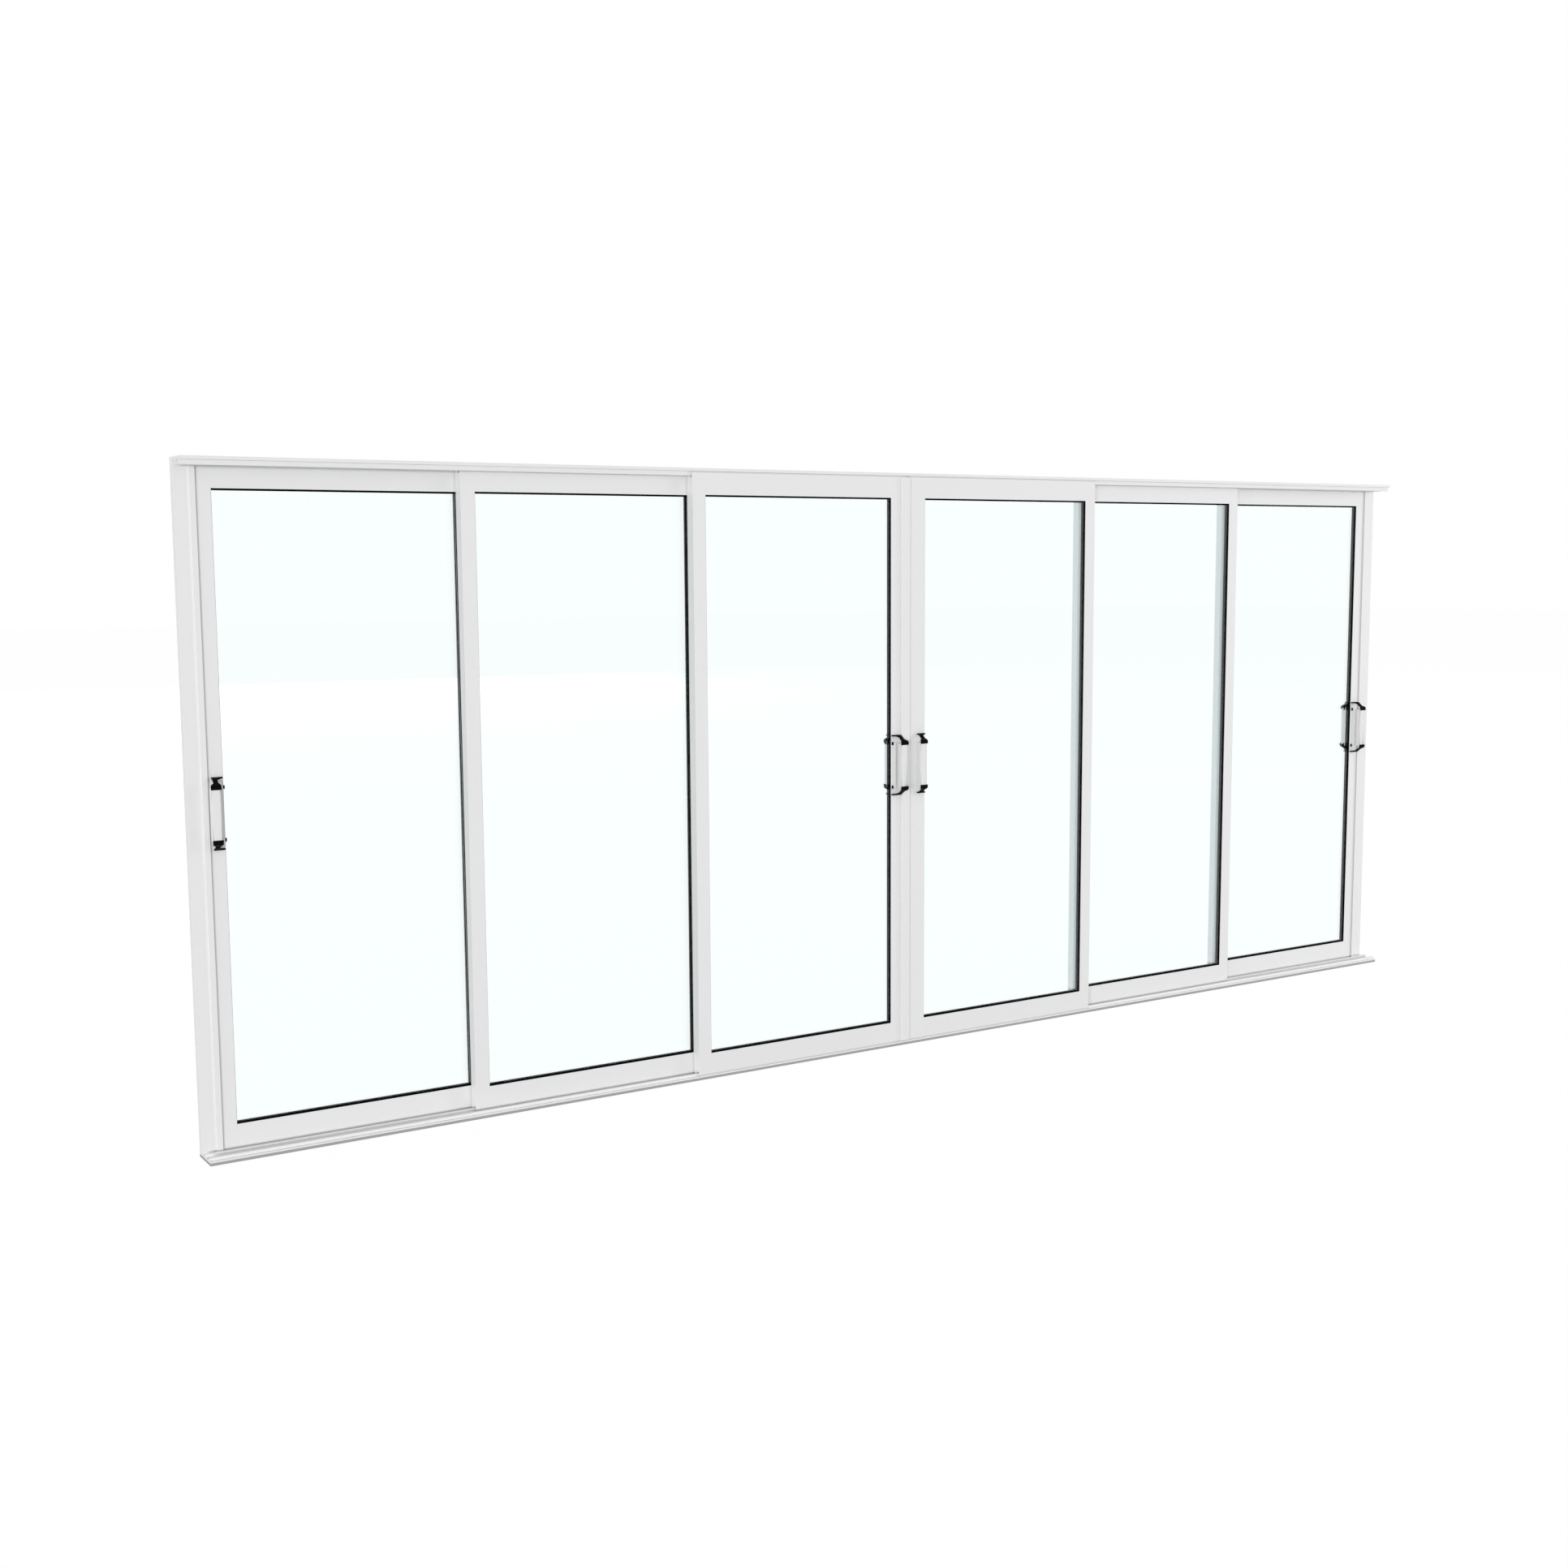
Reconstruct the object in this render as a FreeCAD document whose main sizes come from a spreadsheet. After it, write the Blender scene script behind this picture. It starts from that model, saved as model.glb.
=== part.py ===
import FreeCAD, Part
import Sketcher
import os

# Six-leaf glass sliding patio door on three parallel tracks.
# X runs along the width, -Y is the side with the front track, +Z is up.
# The origin is the centre of the underside of the seal strip below the sill.
# The leaves are counted from the left: 1 and 6 run on the rear track, 2 and 5 on the
# middle one, and 3 and 4 on the front one, where they meet at the centre of the door.

# Driving sizes in millimetres
SIZES = {
    "frame_width": 6000,
    "frame_height": 2444,
    "frame_depth": 136,
    "head_plate": 12,
    "sill_seal": 10,
    "sill_plate": 6,
    "track_pitch": 50,
    "guide_thick": 10,
    "guide_drop": 18,
    "rail_rise": 10,
    "guide_ease": 2,
    "jamb_face": 54,
    "tongue_thick": 8,
    "tongue_reach": 22,
    "stop_reach": 18,
    "stop_thick": 3,
    "stop_web": 3,
    "end_gap": 10,
    "run_gap": 6,
    "leaf_thick": 32,
    "stile_face": 56,
    "end_face": 62,
    "meeting_face": 80,
    "meeting_gap": 16,
    "stile_cover": 2.5,
    "top_rail": 85,
    "bottom_rail": 83,
    "edge_round": 1,
    "lip_thick": 3,
    "lip_reach": 11,
    "lip_gap": 6,
    "glass_thick": 20,
    "gasket_thick": 3,
    "gasket_side": 1,
    "gasket_inset": 1,
    "wheel_radius": 15,
    "wheel_width": 10,
    "axle_side": 8,
    "wheel_inset": 110,
    "seat_gap": 0.3,
    "cover_face": 43,
    "cover_past": 2,
    "cover_thick": 8,
    "cover_gap": 6,
    "cover_web": 10,
    "cover_short": 4,
    "cover_round": 2,
    "pull_height": 1221,
    "grip_half": 93,
    "grip_face": 34,
    "grip_deep": 28.5,
    "grip_reach": 48,
    "grip_round": 5,
    "grip_from_glass": 37.5,
    "foot_from_glass": 21.5,
    "foot_face": 38,
    "foot_deep": 10,
    "arm_rise": 35,
    "arm_thick": 5.5,
    "shoulder_out": 17,
    "shoulder_in": 2.5,
    "elbow_fall": 27,
    "crook_fall": 31,
    "arm_bend": 12,
    "crook_bend": 7,
    "plate_thick": 3,
    "plate_past": 1.5,
    "plate_lap": 5,
    "neck_face": 16,
    "neck_shift": 3.5,
    "neck_low": 20,
    "neck_high": 38,
    "flare_back": 2,
    "flare_bend": 7,
    "bar_from_glass": 9,
    "bar_face": 10,
    "bar_deep": 15,
    "bar_half": 99,
    "buffer_face": 6,
    "buffer_deep": 6,
    "buffer_out": 8,
    "buffer_rise": 13,
}

# Fits and places that follow from the driving sizes
FITS = {
    "half_width": "frame_width / 2",
    "half_depth": "frame_depth / 2",
    "half_leaf": "leaf_thick / 2",
    "half_guide": "guide_thick / 2",
    "half_channel": "guide_thick / 2 + run_gap",
    "sill_top": "sill_seal + sill_plate",
    "leaf_low": "sill_top + run_gap",
    "leaf_top": "frame_height - head_plate - run_gap",
    "leaf_height": "leaf_top - leaf_low",
    "jamb_inner": "half_width - jamb_face",
    "first_lite": "meeting_gap / 2 + meeting_face",
    "faces_wide": "first_lite + 2 * stile_face + end_face - 2 * stile_cover",
    "lite_width": "( jamb_inner - end_gap - faces_wide ) / 3",
    "leaf_pitch": "lite_width + stile_face - stile_cover",
    "lite_low": "leaf_low + bottom_rail",
    "lite_height": "leaf_height - bottom_rail - top_rail",
    "jamb_height": "frame_height - head_plate - sill_top",
    "stop_face": "track_pitch - half_leaf - run_gap - stop_thick",
    "groove_half": "tongue_thick / 2 + run_gap",
    "groove_deep": "tongue_reach - end_gap + run_gap",
    "wheel_centre": "sill_top + rail_rise + seat_gap + wheel_radius - leaf_low",
    "channel_rise": "wheel_centre + wheel_radius + run_gap",
    "gasket_deep": "leaf_thick - 2 * gasket_inset",
    "hook_start": "2 * lip_thick + lip_gap - stile_cover",
    "hook_end": "lip_thick + lip_gap - stile_cover",
    "plate_near": "grip_from_glass - grip_face / 2 - plate_past",
    "plate_far": "grip_from_glass + grip_face / 2 + plate_past",
    "plate_front": "grip_reach + plate_thick",
    "foot_near": "foot_from_glass - foot_face / 2",
    "foot_far": "foot_from_glass + foot_face / 2",
    "neck_near": "grip_from_glass - neck_shift - neck_face / 2",
    "neck_far": "grip_from_glass - neck_shift + neck_face / 2",
    "bar_near": "bar_from_glass - bar_face / 2",
    "pull_half": "grip_half + arm_rise",
}

# Closeness in millimetres at which an edge counts as lying at a spot
NEARLY = 1e-4

doc = FreeCAD.newDocument("PatioDoor")
sheet = doc.addObject("Spreadsheet::Sheet", "Size")
for row, (word, size) in enumerate(SIZES.items(), start=1):
    sheet.set("A%d" % row, word)
    sheet.set("B%d" % row, str(size))
    sheet.setAlias("B%d" % row, word)
doc.recompute()


def bound(text):
    """Expression in which each size word points at its cell."""
    words = []
    for word in str(text).split():
        if word in FITS:
            words.append("(" + bound(FITS[word]) + ")")
        elif word in SIZES:
            words.append("Size." + word)
        else:
            words.append(word)
    return " ".join(words)


def number(text):
    """Present value of an expression of size words."""
    return float(sheet.evalExpression(bound(text)))


def signed(side, text):
    """The same distance from the centre, on the left (-1) or right (1) half."""
    return "0 - ( " + text + " )" if side < 0 else text


def oblong(near, far, low, high):
    """Corners of an oblong between two bounds each way."""
    return [(near, low), (far, low), (far, high), (near, high)]


def place(thing, x="0", y="0", z="0"):
    """Bind a piece's place to the sheet."""
    for axis, text in (("x", x), ("y", y), ("z", z)):
        if text != "0":
            thing.setExpression("Placement.Base." + axis, bound(text))


def new_body(name):
    """Empty body whose label is the piece's name."""
    body = doc.addObject("PartDesign::Body", name)
    body.Label = name
    return body


def outline(body, name, plane, loops):
    """Sketch of closed straight-sided loops with every corner bound to the sheet."""
    sketch = body.newObject("Sketcher::SketchObject", name)
    flats = [part for part in body.Origin.OriginFeatures if part.Role == plane]
    sketch.AttachmentSupport = [(flats[0], "")]
    sketch.MapMode = "FlatFace"
    for loop in loops:
        first = sketch.GeometryCount
        count = len(loop)
        spots = [FreeCAD.Vector(number(x), number(y), 0) for x, y in loop]
        for step in range(count):
            line = Part.LineSegment(spots[step], spots[(step + 1) % count])
            sketch.addGeometry(line, False)
        for step in range(count):
            after = first + (step + 1) % count
            sketch.addConstraint(Sketcher.Constraint("Coincident", first + step, 2, after, 1))
        for step, texts in enumerate(loop):
            for kind, text, value in zip("XY", texts, (spots[step].x, spots[step].y)):
                rule = Sketcher.Constraint("Distance" + kind, -1, 1, first + step, 1, value)
                index = sketch.addConstraint(rule)
                word = "%s%d" % (kind.lower(), first + step)
                sketch.renameConstraint(index, word)
                if text != "0":
                    sketch.setExpression("Constraints." + word, bound(text))
    return sketch


def pad(body, sketch, length):
    """Extrude a sketch by a bound length."""
    feature = body.newObject("PartDesign::Pad", sketch.Name + "_pad")
    feature.Profile = sketch
    feature.setExpression("Length", bound(length))
    body.Tip = feature
    sketch.Visibility = False
    return feature


def cut_through(body, sketch):
    """Cut a sketch both ways through the whole body."""
    feature = body.newObject("PartDesign::Pocket", sketch.Name + "_pocket")
    feature.Profile = sketch
    feature.Type = "ThroughAll"
    feature.Midplane = True
    body.Tip = feature
    return feature


def round_edges(body, feature, radius, wanted):
    """Fillet the edges of a feature that a test picks out."""
    doc.recompute()
    names = []
    for index, edge in enumerate(feature.Shape.Edges, start=1):
        if wanted(edge):
            names.append("Edge%d" % index)
    fillet = body.newObject("PartDesign::Fillet", feature.Name + "_round")
    fillet.Base = (feature, names)
    fillet.setExpression("Radius", bound(radius))
    body.Tip = fillet
    return fillet


def runs_along(axis, spots=()):
    """Test for a straight edge along an axis, at one of the given spots if there are any.

    A spot is a pair of expressions across the axis, in the order X, Y, Z.
    """
    across = [other for other in "XYZ" if other != axis]
    places = [(number(first), number(second)) for first, second in spots]

    def wanted(edge):
        box = edge.BoundBox
        if getattr(box, axis + "Length") < edge.Length - NEARLY:
            return False
        here = [getattr(box, other + "Min") for other in across]
        near = [abs(here[0] - a) < NEARLY and abs(here[1] - b) < NEARLY for a, b in places]
        return any(near) or not places

    return wanted


def group(name, pieces):
    """Like pieces of one node, which don't touch each other."""
    node = doc.addObject("Part::Compound", name)
    node.Label = name
    node.Links = pieces
    return node


def box(name, length, width, height):
    """Bound box."""
    piece = doc.addObject("Part::Box", name)
    for side, text in (("Length", length), ("Width", width), ("Height", height)):
        piece.setExpression(side, bound(text))
    return piece


nodes = []

TRACKS = ["0 - track_pitch", "0", "track_pitch"]


def guide_loops(foot, rise, sign):
    """One guide per track, with eased tips; sign is the way it stands."""
    loops = []
    for track in TRACKS:
        low = foot
        tip = foot + sign + rise
        neck = tip + " - guide_ease" if sign == " + " else tip + " + guide_ease"
        near = track + " - half_guide"
        far = track + " + half_guide"
        loops.append([
            (near, low), (far, low), (far, neck), (far + " - guide_ease", tip),
            (near + " + guide_ease", tip), (near, neck),
        ])
    return loops


# Head with three hanging guides, and sill with three rails
def track_member(name, foot, sign, plate, rise):
    """Plate across the opening with a guide or rail for each track."""
    body = new_body(name)
    edge = foot + (" - " if sign == " + " else " + ") + plate
    base = outline(body, name + "_plate", "YZ_Plane", [[
        ("0 - half_depth", edge), ("half_depth", edge), ("half_depth", foot), ("0 - half_depth", foot),
    ]])
    slab = pad(body, base, "frame_width")
    sides = ("0 - half_depth", "half_depth")
    corners = [(y, z) for y in sides for z in (edge, foot)]
    round_edges(body, slab, "edge_round", runs_along("X", corners))
    guides = guide_loops(foot, rise, sign)
    front = outline(body, name + "_front_guides", "YZ_Plane", guides[:2])
    pad(body, front, "frame_width")
    rear = outline(body, name + "_rear_guide", "YZ_Plane", guides[2:])
    rear.setExpression("AttachmentOffset.Base.z", bound("jamb_face + tongue_reach"))
    pad(body, rear, "frame_width - 2 * jamb_face - 2 * tongue_reach")
    place(body, x="0 - half_width")
    nodes.append(body)


track_member("head", "frame_height - head_plate", " - ", "head_plate", "guide_drop")
track_member("sill", "sill_top", " + ", "sill_plate", "rail_rise")

# Seal strip that the sill is bedded on
seal = box("sill_seal", "frame_width", "frame_depth", "sill_seal")
seal.Label = "sill_seal"
place(seal, x="0 - half_width", y="0 - half_depth")
nodes.append(seal)


# Jambs: a post at the rear track, with a tongue that the end leaf closes over and a stop
# that laps over the leaf's face
def jamb(name, side):
    """Upright at one end of the rear track."""
    body = new_body(name)
    near = "track_pitch - half_leaf"
    far = "half_depth"
    low = "track_pitch - tongue_thick / 2"
    high = "track_pitch + tongue_thick / 2"
    spots = [
        ("half_width", near), ("half_width", far), ("jamb_inner", far), ("jamb_inner", high),
        ("jamb_inner - tongue_reach", high), ("jamb_inner - tongue_reach", low),
        ("jamb_inner", low), ("jamb_inner", "stop_face + stop_thick"),
        ("jamb_inner - stop_reach", "stop_face + stop_thick"), ("jamb_inner - stop_reach", "stop_face"),
        ("jamb_inner + stop_web", "stop_face"), ("jamb_inner + stop_web", near),
    ]
    spots = [(signed(side, x), y) for x, y in spots]
    sketch = outline(body, name + "_profile", "XY_Plane", [spots])
    post = pad(body, sketch, "jamb_height")
    outer = [spots[0], spots[1], spots[9], spots[10]]
    round_edges(body, post, "edge_round", runs_along("Z", outer))
    place(body, z="sill_top")
    nodes.append(body)


jamb("left_jamb", -1)
jamb("right_jamb", 1)


# Leaves
def cut_ends(body):
    """Notch both ends of an upright, where the leaf passes over the rail and the guide."""
    top, bottom = "leaf_height - guide_drop", "rail_rise"
    ends = outline(body, body.Name + "_ends", "YZ_Plane", [
        [
            ("0 - half_channel", "0"), ("half_channel", "0"),
            ("half_channel", bottom), ("0 - half_channel", bottom),
        ],
        [
            ("0 - half_channel", top), ("half_channel", top),
            ("half_channel", "leaf_height"), ("0 - half_channel", "leaf_height"),
        ],
    ])
    cut_through(body, ends)


def stile(name, side, track, near, far, detail, rounded):
    """Upright of a leaf between two distances from the centre, with its outer edge rounded."""
    body = new_body(name)
    front = "0 - half_leaf"
    back = "half_leaf"
    spots = [(near, front)]
    if "hook" in detail:
        spots += [
            (far + " - hook_start", front), (far + " - hook_start", front + " - lip_reach"),
            (far + " - hook_end", front + " - lip_reach"), (far + " - hook_end", front),
        ]
    spots += [(far, front)]
    if "groove" in detail:
        spots += [
            (far, "0 - groove_half"), (far + " - groove_deep", "0 - groove_half"),
            (far + " - groove_deep", "groove_half"), (far, "groove_half"),
        ]
    if "catch" in detail:
        spots += [
            (far, back + " + lip_reach"), (far + " - lip_thick", back + " + lip_reach"),
            (far + " - lip_thick", back),
        ]
    else:
        spots += [(far, back)]
    spots += [(near, back)]
    sketch = outline(body, name + "_profile", "XY_Plane", [[(signed(side, x), y) for x, y in spots]])
    post = pad(body, sketch, "leaf_height")
    outer = near if rounded == "near" else far
    corners = [(signed(side, outer), front)]
    if "catch" not in detail:
        corners.append((signed(side, outer), back))
    round_edges(body, post, "edge_round", runs_along("Z", corners))
    cut_ends(body)
    place(body, y=track, z="leaf_low")
    return body


def rail(name, x, track, low, height, channel, opens_down):
    """Level member of a leaf, with the channel that rides over the guide."""
    body = new_body(name)
    if opens_down:
        spots = [
            ("0 - half_leaf", "0"), ("0 - half_channel", "0"), ("0 - half_channel", channel),
            ("half_channel", channel), ("half_channel", "0"), ("half_leaf", "0"),
            ("half_leaf", height), ("0 - half_leaf", height),
        ]
    else:
        base = height + " - " + channel
        spots = [
            ("0 - half_leaf", "0"), ("half_leaf", "0"), ("half_leaf", height), ("half_channel", height),
            ("half_channel", base), ("0 - half_channel", base), ("0 - half_channel", height),
            ("0 - half_leaf", height),
        ]
    sketch = outline(body, name + "_profile", "YZ_Plane", [spots])
    pad(body, sketch, "lite_width")
    place(body, x=x, y=track, z=low)
    return body


def wheel(name, x, track):
    """Roller on its square axle, under the bottom rail."""
    body = new_body(name)
    near, far = "0 - half_channel - wheel_width / 2", "wheel_width / 2 - half_channel"
    disc = outline(body, name + "_disc", "YZ_Plane", [oblong(near, far, "0", "wheel_radius")])
    turn = body.newObject("PartDesign::Revolution", name + "_turn")
    turn.Profile = disc
    turn.ReferenceAxis = (disc, ["H_Axis"])
    turn.Angle = 360
    body.Tip = turn
    half = "axle_side / 2"
    square = oblong("0 - " + half, half, "0 - " + half, half)
    pad(body, outline(body, name + "_axle", "XZ_Plane", [square]), "2 * half_channel")
    place(body, x=x, y=track + " + half_channel", z="leaf_low + wheel_centre")
    return body


def pull(leaf, side, track, glass_edge):
    """Grips and backing bars front and rear, and the brackets and buffers that go with them."""

    def across(u):
        """Place across the door of a distance from the glass edge."""
        return signed(side, glass_edge + " - ( " + u + " )")

    bars = []
    upright = [
        ("grip", "grip_from_glass", "grip_face", "grip_reach - grip_deep", "grip_reach", "grip_half"),
        ("backing", "bar_from_glass", "bar_face", "0", "bar_deep", "bar_half"),
    ]
    for face, out in (("front", "0 - "), ("rear", "")):
        for kind, middle, wide, inner, outer, half in upright:
            bar = new_body("%s_%s_%s" % (leaf, face, kind))
            near, far = across(middle + " - " + wide + " / 2"), across(middle + " + " + wide + " / 2")
            low, high = out + "( half_leaf + " + inner + " )", out + "( half_leaf + " + outer + " )"
            sketch = outline(bar, bar.Name + "_profile", "XY_Plane", [oblong(near, far, low, high)])
            solid = pad(bar, sketch, "2 * " + half)
            if kind == "grip":
                round_edges(bar, solid, "grip_round", runs_along("Z"))
            place(bar, y=track, z="pull_height - " + half)
            bars.append(bar)
    nodes.append(group(leaf + "_pull_bars", bars))

    # Each arm is what its bent side profile and its waisted plan have in common
    bends = [("shoulder_out", "pull_half"), ("plate_front", "pull_half - elbow_fall")]
    crooks = [
        ("grip_reach", "pull_half - crook_fall"),
        ("shoulder_out - shoulder_in", "pull_half - arm_thick"),
    ]
    arm = [("0", "pull_half")] + bends
    arm += [("plate_front", "grip_half - plate_lap"), ("grip_reach", "grip_half - plate_lap")]
    arm += crooks + [("0", "pull_half - arm_thick")]

    def mirrored(spots):
        """The same spots on both faces and both ends of the pull."""
        return [
            [(out + "( half_leaf + " + d + " )", rise + "( " + z + " )") for d, z in spots]
            for out in ("0 - ", "") for rise in ("", "0 - ")
        ]

    sides = new_body(leaf + "_arm_sides")
    sketch = outline(sides, sides.Name + "_profile", "YZ_Plane", mirrored(arm))
    blank = pad(sides, sketch, "plate_far + foot_face")
    outer = [spot for loop in mirrored(bends) for spot in loop]
    bent = round_edges(sides, blank, "arm_bend", runs_along("X", outer))
    inner = [spot for loop in mirrored(crooks) for spot in loop]
    round_edges(sides, bent, "crook_bend", runs_along("X", inner))
    start = glass_edge + " - plate_far" if side > 0 else "0 - ( " + glass_edge + " )"
    place(sides, x=start + " - foot_face / 2", y=track, z="pull_height")
    waist = [
        ("neck_far", "neck_low"), ("neck_far", "neck_high"), ("plate_far", "grip_reach - flare_back"),
        ("plate_near", "grip_reach - flare_back"), ("neck_near", "neck_high"), ("neck_near", "neck_low"),
    ]
    plan = [("foot_near", "0"), ("foot_far", "0"), ("foot_far", "foot_deep")] + waist[:3]
    plan += [("plate_far", "plate_front"), ("plate_near", "plate_front")] + waist[3:]
    plan += [("foot_near", "foot_deep")]

    def both_faces(spots):
        """The same plan in front of the leaf and behind it."""
        return [
            [(across(u), out + "( half_leaf + " + d + " )") for u, d in spots]
            for out in ("0 - ", "")
        ]

    plans = new_body(leaf + "_arm_plans")
    sketch = outline(plans, plans.Name + "_profile", "XY_Plane", both_faces(plan))
    blank = pad(plans, sketch, "2 * pull_half")
    curved = [spot for loop in both_faces(waist) for spot in loop]
    round_edges(plans, blank, "flare_bend", runs_along("Z", curved))
    place(plans, y=track, z="pull_height - pull_half")
    arms = doc.addObject("Part::MultiCommon", leaf + "_arms")
    arms.Shapes = [sides, plans]

    # Buffers on the glass side of the backing bars, at both ends
    buffers = []
    low = across("bar_near" if side > 0 else "bar_near - buffer_face")
    fronts = [("front", "0 - half_leaf - buffer_out - buffer_deep"), ("rear", "half_leaf + buffer_out")]
    for face, y in fronts:
        for end, z in (("top", "bar_half - buffer_rise"), ("bottom", "0 - bar_half")):
            name = "%s_%s_%s_buffer" % (leaf, face, end)
            buffer = box(name, "buffer_face", "buffer_deep", "buffer_rise")
            place(buffer, x=low, y=track + " + " + y, z="pull_height + " + z)
            buffers.append(buffer)
    nodes.append(group(leaf + "_pull_brackets", [arms] + buffers))


# The leaves on the left half from the centre outwards, then those on the right half
HALVES = [("leaf_3", "leaf_2", "leaf_1"), ("leaf_4", "leaf_5", "leaf_6")]
INNER = ["plain", "hook", "hook"]
OUTER = ["catch", "catch", "groove"]
ORDER = [(name, half, rank) for half, names in enumerate(HALVES) for rank, name in enumerate(names)]

for leaf, half, rank in ORDER:
    side = 1 if half else -1
    track = TRACKS[rank]
    lite_near = "first_lite + %d * leaf_pitch" % rank
    lite_far = lite_near + " + lite_width"
    inner_face = "meeting_face" if rank == 0 else "stile_face"
    outer_face = "end_face" if rank == 2 else "stile_face"
    # the hook is measured from the glass edge, towards the centre
    near, far = lite_near + " - " + inner_face, lite_far + " + " + outer_face
    stiles = [
        stile(leaf + "_inner_stile", side, track, near, lite_near, INNER[rank], "near"),
        stile(leaf + "_outer_stile", side, track, lite_far, far, OUTER[rank], "far"),
    ]
    nodes.append(group(leaf + "_stiles", stiles))

    x = lite_near if side > 0 else "0 - ( " + lite_far + " )"
    rails = [
        rail(leaf + "_bottom_rail", x, track, "leaf_low", "bottom_rail", "channel_rise", True),
        rail(leaf + "_top_rail", x, track, "leaf_top - top_rail", "top_rail", "guide_drop", False),
    ]
    nodes.append(group(leaf + "_rails", rails))

    wide, high = "lite_width - 2 * gasket_side", "lite_height - 2 * gasket_thick"
    glass = box(leaf + "_glass", wide, "glass_thick", high)
    glass.Label = leaf + "_glass"
    place(glass, x=x + " + gasket_side", y=track + " - glass_thick / 2", z="lite_low + gasket_thick")
    nodes.append(glass)

    gasket = new_body(leaf + "_gasket")
    low, high = "lite_low", "lite_low + lite_height"
    rings = []
    for inset, rise in (("0", "0"), ("gasket_side", "gasket_thick")):
        bottom, top = low + " + " + rise, high + " - " + rise
        rings.append(oblong(inset, "lite_width - " + inset, bottom, top))
    sketch = outline(gasket, leaf + "_gasket_ring", "XZ_Plane", rings)
    pad(gasket, sketch, "gasket_deep")
    place(gasket, x=x, y=track + " + gasket_deep / 2")
    nodes.append(gasket)

    wheels = [
        wheel(leaf + "_first_wheel", x + " + wheel_inset", track),
        wheel(leaf + "_second_wheel", x + " + lite_width - wheel_inset", track),
    ]
    nodes.append(group(leaf + "_rollers", wheels))

    if rank == 0:
        pull(leaf, side, track, lite_near)
    if rank == 2:
        # the end leaf closes outwards, so its pull is mirrored about the glass
        pull(leaf, -side, track, "0 - ( " + lite_far + " )")


# Cover strip on the edge of leaf 4 that laps over leaf 3
cover = new_body("leaf_4_cover_strip")
front, lap = "0 - half_leaf - cover_gap - cover_thick", "0 - half_leaf - cover_gap"
spots = [
    ("cover_past - cover_face", front), ("cover_past", front), ("cover_past", lap),
    ("meeting_gap / 2", lap), ("meeting_gap / 2", "half_leaf - cover_short"),
    ("meeting_gap / 2 - cover_web", "half_leaf - cover_short"),
    ("meeting_gap / 2 - cover_web", lap), ("cover_past - cover_face", lap),
]
sketch = outline(cover, "cover_profile", "XY_Plane", [spots])
strip = pad(cover, sketch, "leaf_height")
round_edges(cover, strip, "cover_round", runs_along("Z", spots[:2]))
cut_ends(cover)
place(cover, y="0 - track_pitch", z="leaf_low")
nodes.append(cover)

doc.recompute()

for thing in doc.Objects:
    if "Invalid" in thing.State or "Error" in thing.State:
        raise RuntimeError("failed feature: " + thing.Name)
for node in nodes:
    if node.Shape.isNull() or not node.Shape.isValid() or not node.Shape.Solids:
        raise RuntimeError("bad shape: " + node.Label)

os.makedirs("parts", exist_ok=True)
for node in nodes:
    node.Shape.exportStep("parts/" + node.Label + ".step")
    print(node.Label, len(node.Shape.Solids), round(node.Shape.Volume), node.Shape.BoundBox)
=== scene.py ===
"""Six-leaf glass sliding patio door: finishes, glazed units, seals, stage and camera."""
import logging
import math
from dataclasses import dataclass, field
from enum import Enum

import bmesh
import bpy
import numpy as np
from mathutils import Matrix, Vector


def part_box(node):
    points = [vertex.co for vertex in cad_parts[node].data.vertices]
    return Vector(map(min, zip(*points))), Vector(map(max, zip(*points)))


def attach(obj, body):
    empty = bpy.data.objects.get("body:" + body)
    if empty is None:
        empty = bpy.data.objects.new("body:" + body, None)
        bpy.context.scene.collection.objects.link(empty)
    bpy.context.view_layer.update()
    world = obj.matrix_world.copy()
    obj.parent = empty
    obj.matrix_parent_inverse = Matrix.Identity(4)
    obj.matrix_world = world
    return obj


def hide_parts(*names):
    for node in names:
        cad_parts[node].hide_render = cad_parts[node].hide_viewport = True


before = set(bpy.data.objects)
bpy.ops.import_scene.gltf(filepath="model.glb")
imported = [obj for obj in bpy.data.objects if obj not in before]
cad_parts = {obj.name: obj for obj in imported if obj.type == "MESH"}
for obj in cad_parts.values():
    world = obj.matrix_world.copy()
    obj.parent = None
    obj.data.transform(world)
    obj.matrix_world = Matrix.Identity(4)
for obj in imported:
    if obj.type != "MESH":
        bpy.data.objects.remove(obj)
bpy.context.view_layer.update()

log = logging.getLogger("patio_door")

LEAVES = ("leaf_1", "leaf_2", "leaf_3", "leaf_4", "leaf_5", "leaf_6")
PULL_LEAVES = ("leaf_1", "leaf_3", "leaf_4", "leaf_6")
Colour = tuple[float, float, float]
WHITE = (1.0, 1.0, 1.0, 1.0)

# How the shared surface varies: tone and roughness slowly, faint dust and painted shade low down
TONE_SCALE = 2.3
ROUGHNESS_SWING = 0.12
DUST_AND_SHADE_SCALE = 14.0
DUST_AND_SHADE_HEIGHT = 0.22
DUST_AND_SHADE_COLOUR = (0.52, 0.49, 0.45, 1.0)
GRAIN_STRENGTH = 0.35

# Distance in metres under which points are one, and the angle that still looks smooth
MERGE_DISTANCE = 1e-6
SMOOTH_DEGREES = 32


class Face(Enum):
    """The two sides of the door; the value points outwards along Y."""

    FRONT = -1
    REAR = 1


# Helpers for shader nodes


def add_node(tree: bpy.types.NodeTree, kind: str, **inputs: object) -> bpy.types.Node:
    """Add a node and set its plain inputs.

    Args:
        tree: node tree that gets the node.
        kind: the node's type name.
        **inputs: values by input name, with spaces written as underscores.

    Returns:
        The new node.
    """
    node = tree.nodes.new(kind)
    for name, value in inputs.items():
        node.inputs[name.replace("_", " ")].default_value = value
    return node


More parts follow.
